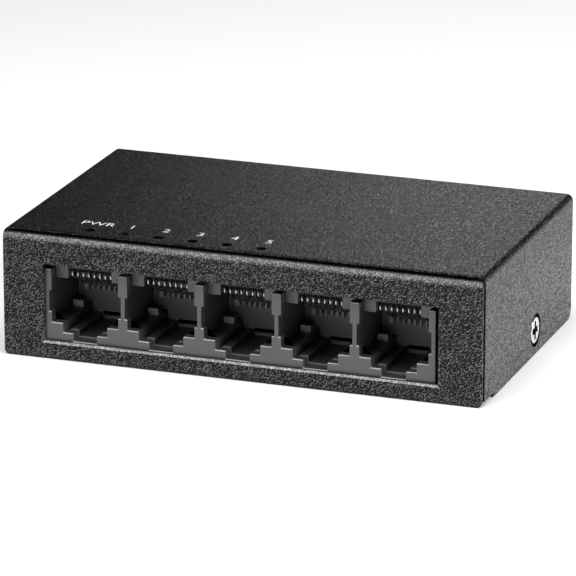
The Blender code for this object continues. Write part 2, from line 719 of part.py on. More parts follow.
def make_board_parts():
    low = BOARD_HIGH + GAP
    chip_centre = (-1.0, FRONT + 41.0)
    x, y = chip_centre
    leaded_chip("switch_chip", chip_centre, (14.0, 12.4), 10, 1.2, 1.3)
    pad_low = low + 1.3 + GAP
    pad = box((x - 5.5, y - 5.0, pad_low), (x + 5.5, y + 5.0, pad_low + 0.5))
    finish(pad, "thermal_pad", "pad_silicone")
    make_heat_sink(chip_centre, pad_low + 0.5 + GAP)
    leaded_chip("memory_chip", (-21.5, FRONT + 45.0), (5.0, 4.0), 4, 1.27, 1.5)
    leaded_chip("regulator_chip", (15.5, FRONT + 38.0), (5.0, 4.0), 4, 1.27, 1.5)
    crystal_outline = rounded_rectangle(-19.8, -14.4, FRONT + 37.0, FRONT + 40.2, 1.2)
    finish(prism(crystal_outline, "Z", low, low + 1.6), "crystal", "capacitor_can")
    inductor_outline = rounded_rectangle(12.0, 18.6, FRONT + 42.0, FRONT + 48.6, 1.6)
    finish(prism(inductor_outline, "Z", low, low + 3.0), "power_inductor", "ferrite")
    for number, spot in enumerate(((-28.5, FRONT + 38.5), (-28.5, FRONT + 46.0), (35.8, FRONT + 40.0)), 1):
        profile = [(3.0, low), (3.0, low + 1.0), (2.8, low + 1.2), (3.0, low + 1.5)]
        profile += [(3.0, low + 6.6), (2.8, low + 6.9)]
        can = turned(profile, (spot[0], spot[1], 0), "Z", 20)
        finish(can, f"capacitor_{number}", "capacitor_can")
    fuse = box((20.2, FRONT + 34.5, low), (24.8, FRONT + 37.2, low + 1.1))
    finish(fuse, "fuse", "ferrite")


def main():
    clear_scene()
    make_base_tray()
    make_top_cover()
    make_port_housing()
    for number, centre in enumerate(PORT_CENTRES, 1):
        make_contact_carrier(number, centre)
        make_contacts(number, centre)
    make_circuit_board()
    make_cover_screws()
    make_board_fixings()
    make_indicators()
    make_light_guide()
    make_power_inlet()
    make_transformers()
    make_board_parts()


main()
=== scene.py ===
"""Desktop network switch: its looks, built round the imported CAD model.

Lengths are in millimetres and become metres when a mesh is made.
The frame is the CAD frame: +X to the right, +Y to the back, +Z up.
"""

import json
import math

import bmesh
import bpy
from mathutils import Matrix, Vector

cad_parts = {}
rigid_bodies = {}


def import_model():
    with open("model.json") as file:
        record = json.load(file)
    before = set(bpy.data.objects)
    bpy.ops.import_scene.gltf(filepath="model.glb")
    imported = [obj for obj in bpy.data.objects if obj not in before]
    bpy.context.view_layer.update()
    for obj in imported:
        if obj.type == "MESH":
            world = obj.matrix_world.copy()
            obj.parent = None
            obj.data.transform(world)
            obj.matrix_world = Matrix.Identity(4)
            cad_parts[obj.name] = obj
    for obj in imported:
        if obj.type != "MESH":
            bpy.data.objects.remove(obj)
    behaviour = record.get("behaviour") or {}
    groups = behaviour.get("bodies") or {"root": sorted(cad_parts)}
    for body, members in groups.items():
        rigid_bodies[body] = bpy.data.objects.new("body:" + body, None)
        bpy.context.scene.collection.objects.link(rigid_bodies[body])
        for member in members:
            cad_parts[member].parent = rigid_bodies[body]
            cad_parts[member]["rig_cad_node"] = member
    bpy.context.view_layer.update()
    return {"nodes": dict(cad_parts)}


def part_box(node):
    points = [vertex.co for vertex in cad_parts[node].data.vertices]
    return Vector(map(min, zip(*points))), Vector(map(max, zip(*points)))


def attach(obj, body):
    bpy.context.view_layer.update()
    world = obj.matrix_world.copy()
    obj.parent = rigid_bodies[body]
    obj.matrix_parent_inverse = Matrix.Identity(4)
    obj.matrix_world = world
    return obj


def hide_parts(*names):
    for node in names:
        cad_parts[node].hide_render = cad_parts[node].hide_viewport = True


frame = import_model()

MM = 0.001
PORTS = range(1, 6)
CHASSIS = "chassis"
CHIP_LEAD = 0.75

# Camera: where it stands, which way it looks and its lens
CAMERA_PLACE = (266.3, -747.8, 263.4)
CAMERA_AZIMUTH = 19.631
CAMERA_ELEVATION = 17.794
CAMERA_ROLL = 0.026
CAMERA_LENS = 298.6
SENSOR = 36.0
WORLD_LIGHT = 0.05


def box_mm(node):
    """Lowest and highest corner of a CAD node, in millimetres."""
    low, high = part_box(node)
    return low / MM, high / MM


COVER_LOW, COVER_HIGH = box_mm("top_cover")
TRAY_LOW, TRAY_HIGH = box_mm("base_tray")
BLOCK_LOW, BLOCK_HIGH = box_mm("port_housing")
BOARD_HIGH = box_mm("circuit_board")[1]
INLET_LOW, INLET_HIGH = box_mm("power_inlet_body")
SCREW_LOW, SCREW_HIGH = box_mm("cover_screw_right")
PORT_CENTRES = [sum(corner.x for corner in box_mm(f"port_{i}_carrier")) / 2 for i in PORTS]
PORT_PITCH = PORT_CENTRES[1] - PORT_CENTRES[0]
LED_NAMES = ["led_power"] + [f"led_{i}" for i in PORTS]
LED_CENTRES = [sum(corner.x for corner in box_mm(name)) / 2 for name in LED_NAMES]

FRONT = TRAY_LOW.y
BACK = COVER_HIGH.y
TOP = COVER_HIGH.z
HALF_WIDTH = COVER_HIGH.x

# Sheet metal
SHEET = 0.8
COVER_BEND = 1.2
COVER_EDGE = ((0.0, 0.1), (0.25, 0.03), (0.6, 0.0))
UNDERCUT = 0.6
COVER_NOTCH_DEPTH = 6.4
COVER_NOTCH_HEIGHT = 0.8
COVER_CORNER = 2.0
FACE_SIDE_EDGE = 0.5
FACE_TOP_EDGE = 0.78
FACE_TOP_ROLL = 1.6
FACE_CORNER = 0.9
TRAY_HALF = 42.2
WALL_TOP = 21.5
LIP_DEPTH = 2.6
REAR_FLANGE = 2.6
SCREW_TAB_HALF = 5.0
SCREW_TAB_HIGH = 9.0
INLET_GAP = 0.3
FLOOR_RELIEF = 1.6
WINDOW_HALF = 35.55
WINDOW_CENTRE = -0.1
WINDOW_LOW = 3.13
WINDOW_HIGH = 16.95
WINDOW_EDGE = 0.26
COUNTERSINK_RADIUS = 2.95
SCREW_CROSS = (4.6, 1.35, 1.9)
LED_HOLE_RADIUS = 0.82
LED_HOLE_SPREAD = 1.9
LED_HOLE_DEPTH = 3.9
KEYHOLE_X = 25.0
KEYHOLE_DEPTH = 33.0
KEYHOLE_RADIUS = 3.4
KEYHOLE_SLOT_HALF = 1.8
KEYHOLE_SLOT_LENGTH = 7.0

# Jacks: heights are above the underside, depths are from the block's face
BLOCK_HALF = 35.35
BLOCK_LENGTH = 16.6
FRAME_LENGTH = 1.9
CAVITY_LENGTH = 13.6
LATCH_FLOOR = 3.3
LATCH_HALF = 2.15
PIT_END = 2.7
PIT_FLOOR = 2.75
CHANNEL_FLOOR = 3.45
FLOOR_HEIGHT = 4.6
FLOOR_HALF = 3.78
FLOOR_GROOVE = 3.9
LEDGE_LOW = 4.72
LEDGE_HALF = 4.05
RAIL_HEIGHT = 6.4
INNER_RAIL_HEIGHT = 6.2
MOUTH_HALF = 6.1
GROOVE_LOW = 8.3
GROOVE_HIGH = 12.1
GROOVE_HALF = 6.6
STOP_NEAR = 4.28
STOP_FAR = 6.3
STOP_HIGH = 7.45
STOP_START = 10.0
STOP_LENGTH = 2.0
SHELF_HIGH = 7.4
BOARD_GAP = 0.3
EAR_START = 7

# Spring wires and the slotted carriers that guide them
WIRE_COUNT = 8
WIRE_PITCH = 1.02
WIRE_RADIUS = 0.19
SLOT_HALF = 0.36
COMB_START = 2.5
COMB_END = 3.6
COMB_LOW = 13.75
COMB_ROOF = 15.45
COMB_OPENING_HALF = 4.0
COMB_OPENING_TOP = 15.65
REAR_COMB_START = 11.5
REAR_COMB_END = 13.3
REAR_COMB_LOW = 9.05
REAR_COMB_HALF = 4.7
PIVOT = (4.25, 14.87)
LOOP_CENTRE = (4.0, 14.4)
LOOP_RADIUS = 0.6
WIRE_END = (11.9, 9.9)
WIRE_BAR = 0.46

# Printed legends
LEGENDS = ("PWR", "1", "2", "3", "4", "5")
LEGEND_DEPTH = 7.95
LEGEND_HEIGHT = 1.78
LEGEND_SPREAD = 1.08
LEGEND_THINNING = -0.013
LEGEND_THICKNESS = 0.012


# ---------------------------------------------------------------- meshes


def solid(bm, name="piece"):
    """An object from a bmesh drawn in millimetres."""
    bmesh.ops.recalc_face_normals(bm, faces=bm.faces)
    bmesh.ops.scale(bm, vec=(MM, MM, MM), verts=bm.verts)
    mesh = bpy.data.meshes.new(name)
    bm.to_mesh(mesh)
    bm.free()
    item = bpy.data.objects.new(name, mesh)
    bpy.context.scene.collection.objects.link(item)
    return item


def block(low, high):
    """A rectangular cutter or building block between two corners."""
    bm = bmesh.new()
    bmesh.ops.create_cube(bm, size=1.0)
    bmesh.ops.scale(bm, vec=Vector(high) - Vector(low), verts=bm.verts)
    bmesh.ops.translate(bm, vec=(Vector(high) + Vector(low)) / 2, verts=bm.verts)
    return solid(bm)


def loft(loops):
    """A closed body through outlines that have the same number of points."""
    bm = bmesh.new()
    rings = [[bm.verts.new(point) for point in loop] for loop in loops]
    for near, far in zip(rings, rings[1:]):
        for i in range(len(near)):
            bm.faces.new((near[i - 1], near[i], far[i], far[i - 1]))
    bm.faces.new(rings[0])
    bm.faces.new(rings[-1])
    return solid(bm)


def prism(outline, axis, low, high):
    """An outline swept along X, Y or Z; the outline holds the other two axes in order."""
    place = {
        "X": lambda a, b, c: (c, a, b),
        "Y": lambda a, b, c: (a, c, b),
        "Z": lambda a, b, c: (a, b, c),
    }[axis]
    return loft([[place(a, b, level) for a, b in outline] for level in (low, high)])


def turned(profile, centre, axis, segments=48):
    """A profile of (radius, height) pairs turned about an axis through a centre."""
    turns = {"X": Matrix.Rotation(math.pi / 2, 4, "Y"), "Y": Matrix.Rotation(-math.pi / 2, 4, "X")}
    turn = turns.get(axis, Matrix.Identity(4))
    loops = []
    for radius, height in profile:
        angles = [2 * math.pi * i / segments for i in range(segments)]
        ring = [Vector((radius * math.cos(a), radius * math.sin(a), height)) for a in angles]
        loops.append([turn @ point + Vector(centre) for point in ring])
    return loft(loops)


def combine(target, tools, operation):
    """Join or cut tools, one by one, into the target."""
    for tool in tools:
        modifier = target.modifiers.new("boolean", "BOOLEAN")
        modifier.operation = operation
        modifier.solver = "EXACT"
        modifier.object = tool
        graph = bpy.context.evaluated_depsgraph_get()
        result = bpy.data.meshes.new_from_object(target.evaluated_get(graph))
        target.modifiers.clear()
        target.data = result
        bpy.data.objects.remove(tool)
    return target


def join(target, *tools):
    """The target with all the tools added to it."""
    return combine(target, tools, "UNION")


def cut(target, *tools):
    """The target with all the tools taken out of it."""
    return combine(target, tools, "DIFFERENCE")


def arc(centre, radius, start, end, steps=12):
    """Points along a circle, between two angles in degrees."""
    points = []
    for i in range(steps + 1):
        angle = math.radians(start + (end - start) * i / steps)
        points.append((centre[0] + radius * math.cos(angle), centre[1] + radius * math.sin(angle)))
    return points


def rounded_rectangle(left, right, low, high, radius, steps=8):
    """Outline of a rectangle with rounded corners."""
    outline = []
    corners = [
        (right, high, -1, -1, 0),
        (left, high, 1, -1, 90),
        (left, low, 1, 1, 180),
        (right, low, -1, 1, 270),
    ]
    for x, z, inward_x, inward_z, start in corners:
        centre = (x + inward_x * radius, z + inward_z * radius)
        outline += arc(centre, radius, start, start + 90, steps)
    return outline


def round_edges(item, width, segments=2, angle=35):
    """Rounded edges wherever two faces meet at more than an angle."""
    bevel = item.modifiers.new("rounded edges", "BEVEL")
    bevel.width = width * MM
    bevel.segments = segments
    bevel.limit_method = "ANGLE"
    bevel.angle_limit = math.radians(angle)
    bevel.use_clamp_overlap = False
    smooth(item)


def smooth(item, angle=40):
    """Smooth shading that keeps flat faces flat."""
    if "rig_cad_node" not in item:
        item.data.shade_smooth()
        item.data.set_sharp_from_angle(angle=math.radians(angle))
    normals = item.modifiers.new("flat faces", "WEIGHTED_NORMAL")
    normals.keep_sharp = True
    normals.weight = 100


def dress(item, name, material, body=CHASSIS, stands_for=()):
    """Name a finished piece, and give it its material and its body."""
    item.name = name
    item.data.name = name
    item.data.materials.clear()
    item.data.materials.append(material)
    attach(item, body)
    if stands_for:
        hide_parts(*stands_for)
    return item


# ------------------------------------------------------------- materials


class Finish:
    """A procedural material; patterns are laid out in millimetres on the object."""

    def __init__(self, name, colour, roughness, metallic=0.0, **sockets):
        self.material = bpy.data.materials.new(name)
        self.material.use_nodes = True
        self.tree = self.material.node_tree
        self.shader = self.tree.nodes["Principled BSDF"]
        self.shader.inputs["Base Color"].default_value = (*colour, 1.0)
        self.shader.inputs["Roughness"].default_value = roughness
        self.shader.inputs["Metallic"].default_value = metallic
        for socket, value in sockets.items():
            self.shader.inputs[socket.replace("_", " ")].default_value = value
        self.colour = colour
        place = self.node("ShaderNodeTexCoord")
        scale = self.node("ShaderNodeVectorMath", operation="SCALE")
        scale.inputs["Scale"].default_value = 1 / MM
        self.link(place.outputs["Object"], scale.inputs[0])
        self.place = scale.outputs[0]
        self.normal = None

    def node(self, kind, **settings):
        made = self.tree.nodes.new(kind)
        for key, value in settings.items():
            setattr(made, key, value)
        return made

    def link(self, start, end):
        self.tree.links.new(start, end)

    def stretched(self, factors):
        """The pattern space, scaled by a factor along each axis."""
        scale = self.node("ShaderNodeVectorMath", operation="MULTIPLY")
        scale.inputs[1].default_value = factors
        self.link(self.place, scale.inputs[0])
        return scale.outputs[0]

    def noise(self, scale, detail=2.0, roughness=0.5, distortion=0.0, space=None):
        texture = self.node("ShaderNodeTexNoise")
        texture.inputs["Scale"].default_value = scale
        texture.inputs["Detail"].default_value = detail
        texture.inputs["Roughness"].default_value = roughness
        texture.inputs["Distortion"].default_value = distortion
        self.link(space or self.place, texture.inputs["Vector"])
        return texture.outputs["Fac"]

    def spread(self, value, low, high, start=0.3, end=0.7):
        """A pattern's value, mapped from start..end to low..high."""
        mapped = self.node("ShaderNodeMapRange")
        mapped.inputs["From Min"].default_value = start
        mapped.inputs["From Max"].default_value = end
        mapped.inputs["To Min"].default_value = low
        mapped.inputs["To Max"].default_value = high
        self.link(value, mapped.inputs["Value"])
        return mapped.outputs["Result"]

    def calculate(self, operation, first, second):
        """One step of arithmetic on two patterns, or on a pattern and a number."""
        step = self.node("ShaderNodeMath", operation=operation)
        for socket, value in zip(step.inputs, (first, second)):
            if isinstance(value, float):
                socket.default_value = value
            else:
                self.link(value, socket)
        return step.outputs[0]

    def position(self, axis):
        """Distance along one axis, in millimetres."""
        split = self.node("ShaderNodeSeparateXYZ")
        self.link(self.place, split.inputs[0])
        return split.outputs[axis]

    def facing(self, axis):
        """How far a face looks along one axis, from -1 to 1."""
        split = self.node("ShaderNodeSeparateXYZ")
        self.link(self.node("ShaderNodeTexCoord").outputs["Normal"], split.inputs[0])
        return split.outputs[axis]

    def upper_edge(self, start=0.12, end=0.40):
        """1 on rounded edges that look forward and up, 0 on flat faces: the mask of the painted highlights.
        """
        ahead = self.calculate("MULTIPLY", self.facing("Y"), -1.0)
        both = self.calculate("MULTIPLY", ahead, self.facing("Z"))
        return self.spread(both, 0.0, 1.0, start, end)

    def blend(self, value, base, colour):
        """From a colour, or another blend, to a grey shade by a pattern's value."""
        mix = self.node("ShaderNodeMix", data_type="RGBA")
        if isinstance(base, tuple):
            mix.inputs["A"].default_value = (*base, 1.0)
        else:
            self.link(base, mix.inputs["A"])
        mix.inputs["B"].default_value = (*colour, 1.0)
        self.link(value, mix.inputs["Factor"])
        self.link(mix.outputs["Result"], self.shader.inputs["Base Color"])
        return mix.outputs["Result"]

    def shade(self, value, dark, light):
        """Base colour between two colours, by a pattern's value from 0 to 1."""
        return self.blend(value, dark, light)

    def shift_roughness(self, value, low, high):
        self.link(self.spread(value, low, high), self.shader.inputs["Roughness"])

    def relief(self, height, depth):
        """Bump from a height pattern, its depth in millimetres."""
        bump = self.node("ShaderNodeBump")
        bump.inputs["Strength"].default_value = 1.0
        bump.inputs["Distance"].default_value = depth * MM
        self.link(height, bump.inputs["Height"])
        if self.normal is not None:
            self.link(self.normal, bump.inputs["Normal"])
        self.normal = bump.outputs["Normal"]
        self.link(self.normal, self.shader.inputs["Normal"])


def powder_coat():
    """Black powder coat: low relief, and a grain drawn in colour as painted light on its upper left flanks
    and painted shade on the others.

    The painted light is strongest on upright faces and faint on the top; on the two sides it is stronger
    lower down, where it stands for light from the floor. The edges that look forward and up carry a
    painted highlight in a paler grey.
    """
    finish = Finish("powder_coat", (0.01, 0.01, 0.01), 0.3, Specular_IOR_Level=0.15)
    space = finish.stretched((1.0, 0.45, 1.0))
    shift = finish.node("ShaderNodeVectorMath", operation="ADD")
    shift.inputs[1].default_value = (-0.08, -0.12, 0.13)
    finish.link(space, shift.inputs[0])
    grain = finish.noise(3.6, detail=1.0, space=space)
    above = finish.noise(3.6, detail=1.0, space=shift.outputs[0])
    # lit: painted light on the grain's upper left flanks, painted shade on the others
    lit = finish.spread(finish.calculate("SUBTRACT", grain, above), 0.0, 1.0, -0.01, 0.21)
    # share of the painted light: full on upright faces, faint on the top, and on the sides stronger lower
    # down as painted light from the floor
    level = finish.spread(finish.calculate("ABSOLUTE", finish.facing("Z"), 0.0), 1.0, 0.05, 0.3, 0.9)
    low = finish.spread(finish.position("Z"), 2.4, 0.7, 1.0, 19.0)
    sideways = finish.calculate("ABSOLUTE", finish.facing("X"), 0.0)
    side_floor_light = finish.calculate("MULTIPLY", sideways, finish.calculate("SUBTRACT", low, 1.0))
    share = finish.calculate("MULTIPLY", level, finish.calculate("ADD", side_floor_light, 1.0))
    body = finish.blend(finish.calculate("MULTIPLY", lit, share), (0.001,) * 3, (0.15,) * 3)
    # painted highlight in pale grey on edges that look forward and up: strongest at the window's lower
    # edge, only ahead of the cover's front edge, broken up by the grain and kept off faces that look up
    at_window = finish.spread(finish.position("Z"), 1.0, 0.0, WINDOW_LOW + 0.5, WINDOW_LOW + 1.5)
    strength = finish.spread(at_window, 0.45, 0.95, 0.0, 1.0)
    ahead = finish.spread(finish.position("Y"), 1.0, 0.0, COVER_LOW.y - 0.06, COVER_LOW.y - 0.01)
    speckled = finish.spread(lit, 0.4, 1.0, 0.0, 0.6)
    off_top_faces = finish.calculate("SUBTRACT", finish.facing("Z"), at_window)
    off_top_faces = finish.spread(off_top_faces, 1.0, 0.0, 0.55, 0.75)
    edge = finish.upper_edge(0.1, 0.3)
    for factor in (strength, ahead, speckled, off_top_faces):
        edge = finish.calculate("MULTIPLY", edge, factor)
    finish.blend(edge, body, (0.55,) * 3)
    finish.relief(finish.spread(grain, 0.0, 1.0, 0.25, 0.75), 0.07)
    finish.relief(finish.noise(1.1, detail=2.0), 0.008)
    tops = finish.spread(grain, 0.0, 1.0, 0.43, 0.57)
    finish.link(finish.spread(tops, 0.42, 0.24, 0.0, 1.0), finish.shader.inputs["Roughness"])
    return finish.material


def moulded_plastic(name, shade, roughness):
    """Satin dark plastic with a fine spark-eroded mould texture and faint flow marks."""
    finish = Finish(name, (shade,) * 3, roughness)
    texture = finish.noise(9.0, detail=2.0)
    flow = finish.noise(0.35, detail=3.0, space=finish.stretched((1.0, 0.6, 2.2)))
    finish.relief(texture, 0.006)
    finish.shift_roughness(flow, roughness - 0.06, roughness + 0.06)
    finish.shade(finish.spread(flow, 0.0, 1.0), (shade * 0.86,) * 3, (shade * 1.12,) * 3)
    return finish.material


def jack_plastic(face):
    """Satin moulded plastic, duller down inside the jacks, with painted shade on the faces in there.

    Faces far inside that look forward, the back faces and most of all the lugs' fronts, carry painted
    light; the edges that look forward and up carry a painted highlight, fainter further in.
    """
    finish = Finish("jack_plastic", (0.085,) * 3, 0.26)
    depth = finish.spread(finish.position("Y"), 0.0, 1.0, face + 1.4, face + 2.2)
    height = finish.spread(finish.position("Z"), 0.0, 1.0, 5.5, 7.5)
    ahead = finish.spread(finish.facing("Y"), 1.0, 0.0, -0.9, -0.6)
    level = finish.spread(finish.facing("Z"), 0.0, 1.0, 0.6, 0.9)
    finish.relief(finish.noise(6.0, detail=2.0), 0.008)
    finish.link(finish.spread(depth, 0.26, 0.45, 0.0, 1.0), finish.shader.inputs["Roughness"])
    # painted shade inside the jacks: sides paler low down and darker higher up, faces that look up dark
    shaded_walls = finish.blend(height, (0.08,) * 3, (0.04,) * 3)
    inside = finish.blend(level, shaded_walls, (0.045,) * 3)
    # painted light on faces far inside that look forward: the back faces, and most of all the lugs' fronts
    lit_lug_faces = finish.node("ShaderNodeMath", operation="COMPARE")
    lit_lug_faces.inputs[1].default_value = face + STOP_START
    lit_lug_faces.inputs[2].default_value = 0.3
    finish.link(finish.position("Y"), lit_lug_faces.inputs[0])
    back = finish.blend(lit_lug_faces.outputs[0], (0.14,) * 3, (0.42,) * 3)
    # faces that look forward keep the plastic's own grey near the front and get the painted light far
    # inside
    upright = finish.node("ShaderNodeMix", data_type="RGBA")
    finish.link(depth, upright.inputs["Factor"])
    upright.inputs["A"].default_value = (0.085, 0.085, 0.085, 1.0)
    finish.link(back, upright.inputs["B"])
    body = finish.node("ShaderNodeMix", data_type="RGBA")
    finish.link(ahead, body.inputs["Factor"])
    finish.link(inside, body.inputs["A"])
    finish.link(upright.outputs["Result"], body.inputs["B"])
    # painted highlight on edges that look forward and up, fainter further in
    edge = finish.calculate("MULTIPLY", finish.upper_edge(), finish.spread(depth, 0.9, 0.3, 0.0, 1.0))
    finish.blend(edge, body.outputs["Result"], (0.5,) * 3)
    return finish.material


def comb_plastic(face, front, rear):
    """Satin moulded plastic of the slotted inserts, with painted shade, near black, above the wires and
    painted light that makes them pale at the back.
    """
    finish = Finish("comb_plastic", (front,) * 3, 0.35)
    texture = finish.noise(7.0, detail=2.0)
    flow = finish.noise(0.5, detail=3.0, space=finish.stretched((1.0, 0.6, 2.2)))
    finish.relief(texture, 0.006)
    finish.shift_roughness(flow, 0.3, 0.4)
    # painted light: the rear combs are paler than the front ones
    depth = finish.spread(finish.position("Y"), 0.0, 1.0, face + 6.0, face + 8.0)
    body = finish.blend(depth, (front,) * 3, (rear,) * 3)
    body = finish.blend(finish.spread(flow, 0.0, 0.25), body, (front * 0.6,) * 3)
    # painted shade, near black, above the wires within each jack's opening
    above = finish.spread(finish.position("Z"), 0.0, 1.0, COMB_OPENING_TOP - 0.1, COMB_OPENING_TOP)
    across = finish.node("ShaderNodeMath", operation="PINGPONG")
    across.inputs[1].default_value = PORT_PITCH / 2
    finish.link(finish.calculate("SUBTRACT", finish.position("X"), PORT_CENTRES[0]), across.inputs[0])
    inner = finish.spread(across.outputs[0], 1.0, 0.0, COMB_OPENING_HALF, COMB_OPENING_HALF + 0.1)
    finish.blend(finish.calculate("MULTIPLY", above, inner), body, (0.004,) * 3)
    return finish.material


def bright_metal(name, colour, roughness, drawn=(1.0, 1.0, 1.0), grain=6.0):
    """Plated or drawn metal with faint marks along its working direction."""
    finish = Finish(name, colour, roughness, 1.0)
    marks = finish.noise(grain, detail=3.0, space=finish.stretched(drawn))
    stain = finish.noise(0.8, detail=2.0)
    finish.relief(marks, 0.003)
    finish.shift_roughness(marks, roughness - 0.07, roughness + 0.09)
    dark = tuple(c * 0.86 for c in colour)
    light = tuple(min(1.0, c * 1.08) for c in colour)
    finish.shade(finish.spread(stain, 0.0, 1.0), dark, light)
    return finish.material


def spring_wire(face):
    """Plated spring wire, and the bar that the wires are moulded in.

    Behind and above the loops, the bar and the wires' tops are painted near black as painted shade.
    """
    finish = Finish("contact_metal", (0.5, 0.495, 0.48), 0.28, 1.0)
    marks = finish.noise(6.0, detail=3.0, space=finish.stretched((1.0, 0.2, 1.0)))
    finish.relief(marks, 0.003)
    finish.shift_roughness(marks, 0.2, 0.36)
    # painted shade, near black, behind and above the loops
    deep = finish.spread(finish.position("Y"), 0.0, 1.0, face + 3.9, face + 4.0)
    high = finish.spread(finish.position("Z"), 0.0, 1.0, 14.3, 14.5)
    metal = finish.blend(finish.spread(marks, 0.0, 1.0), (0.42, 0.416, 0.40), (0.56, 0.555, 0.54))
    finish.blend(finish.calculate("MULTIPLY", deep, high), metal, (0.01,) * 3)
    return finish.material


def plated_screw(face):
    """Bright plated screw head, with painted shade, near black, down in its driver recess and on its cone.
    """
    finish = Finish("plated_screw", (0.8, 0.8, 0.8), 0.2, 1.0)
    reach = finish.calculate("ABSOLUTE", finish.position("X"), 0.0)
    brushed = finish.noise(7.0, detail=3.0)
    finish.relief(brushed, 0.003)
    finish.shift_roughness(brushed, 0.16, 0.3)
    # painted shade: near black more than 0.12 mm below the head's outer face
    level = finish.spread(reach, 0.0, 1.0, face - 0.12, face - 0.04)
    finish.shade(level, (0.012, 0.012, 0.012), (0.84, 0.84, 0.84))
    return finish.material


def printed_ink():
    """White screen-printed ink, thin and slightly uneven over the grain."""
    finish = Finish("legend_ink", (0.8, 0.8, 0.8), 0.5)
    cover = finish.noise(5.0, detail=2.0)
    finish.shade(finish.spread(cover, 0.0, 1.0), (0.80, 0.80, 0.80), (0.95, 0.95, 0.95))
    finish.relief(cover, 0.008)
    return finish.material


def solder_mask():
    """Green solder mask over copper traces and a woven glass board."""
    finish = Finish("solder_mask", (0.01, 0.11, 0.045), 0.32, Coat_Weight=0.3)
    traces = finish.node("ShaderNodeTexBrick")
    traces.inputs["Scale"].default_value = 1.0
    traces.inputs["Brick Width"].default_value = 6.5
    traces.inputs["Row Height"].default_value = 0.75
    traces.inputs["Mortar Size"].default_value = 0.11
    traces.inputs["Mortar Smooth"].default_value = 0.3
    finish.link(finish.place, traces.inputs["Vector"])
    weave = finish.noise(2.4, detail=2.0, space=finish.stretched((1.0, 3.0, 1.0)))
    finish.relief(traces.outputs["Fac"], 0.03)
    finish.relief(weave, 0.004)
    finish.shift_roughness(weave, 0.26, 0.40)
    finish.shade(traces.outputs["Fac"], (0.006, 0.085, 0.032), (0.014, 0.16, 0.062))
    return finish.material


def chip_resin(body_low, body_high):
    """Moulded epoxy inside a box, and tinned leads outside it."""
    finish = Finish("chip_resin", (0.02, 0.02, 0.022), 0.55)
    split = finish.node("ShaderNodeSeparateXYZ")
    finish.link(finish.place, split.inputs[0])
    middle = (body_low + body_high) / 2
    reach = finish.node("ShaderNodeMath", operation="COMPARE")
    reach.inputs[1].default_value = middle.y
    reach.inputs[2].default_value = (body_high.y - body_low.y) / 2
    finish.link(split.outputs["Y"], reach.inputs[0])
    speckle = finish.noise(7.0, detail=2.0)
    finish.relief(speckle, 0.006)
    finish.shade(reach.outputs[0], (0.66, 0.66, 0.68), (0.02, 0.02, 0.022))
    metal = finish.spread(reach.outputs[0], 1.0, 0.0, 0.0, 1.0)
    finish.link(metal, finish.shader.inputs["Metallic"])
    finish.shift_roughness(speckle, 0.42, 0.62)
    return finish.material


def clear_resin():
    """Clear moulded light pipe with a faint haze."""
    finish = Finish("clear_resin", (0.86, 0.88, 0.90), 0.12, Transmission_Weight=0.9)
    haze = finish.noise(1.2, detail=3.0)
    finish.shift_roughness(haze, 0.08, 0.2)
    finish.shade(finish.spread(haze, 0.0, 1.0), (0.80, 0.82, 0.84), (0.90, 0.92, 0.94))
    return finish.material


def soft_matter(name, dark, light, roughness, grain, depth):
    """A plain mottled finish for pads, ferrites and lamp resin."""
    finish = Finish(name, light, roughness)
    mottle = finish.noise(grain, detail=3.0)
    finish.relief(mottle, depth)
    finish.shift_roughness(mottle, roughness - 0.08, roughness + 0.08)
    finish.shade(finish.spread(mottle, 0.0, 1.0), dark, light)
    return finish.material


# ------------------------------------------------------------ case pieces


def cover_skin(side, top, steps=12):
    """Outline of the cover's skin, set in from its sides and its top."""
    outline = [(-HALF_WIDTH + side, 0)]
    for hand, start, end in ((-1, 180, 90), (1, 90, 0)):
        for x, z in arc((0, 0), 1.0, start, end, steps):
            across = hand * (HALF_WIDTH - COVER_BEND) + x * (COVER_BEND - side)
            outline.append((across, TOP - COVER_BEND + z * (COVER_BEND - top)))
    return outline + [(HALF_WIDTH - side, 0)]


def front_undercut():
    """A cutter that leans the cover's sheared front edge back under its top."""
    drop = COVER_EDGE[0][1]
    loops = []
    for depth, side, top in (
        (-0.3, -0.39, drop - 0.25),
        (0.0, 0.04, drop + 0.04),
        (UNDERCUT, SHEET, SHEET),
        (UNDERCUT + 0.4, SHEET + 0.3, SHEET + 0.3),
    ):
        outline = [(x, z or -2) for x, z in cover_skin(side, top)]
        loops.append([(x, COVER_LOW.y + depth, z) for x, z in outline])
    return loft(loops)


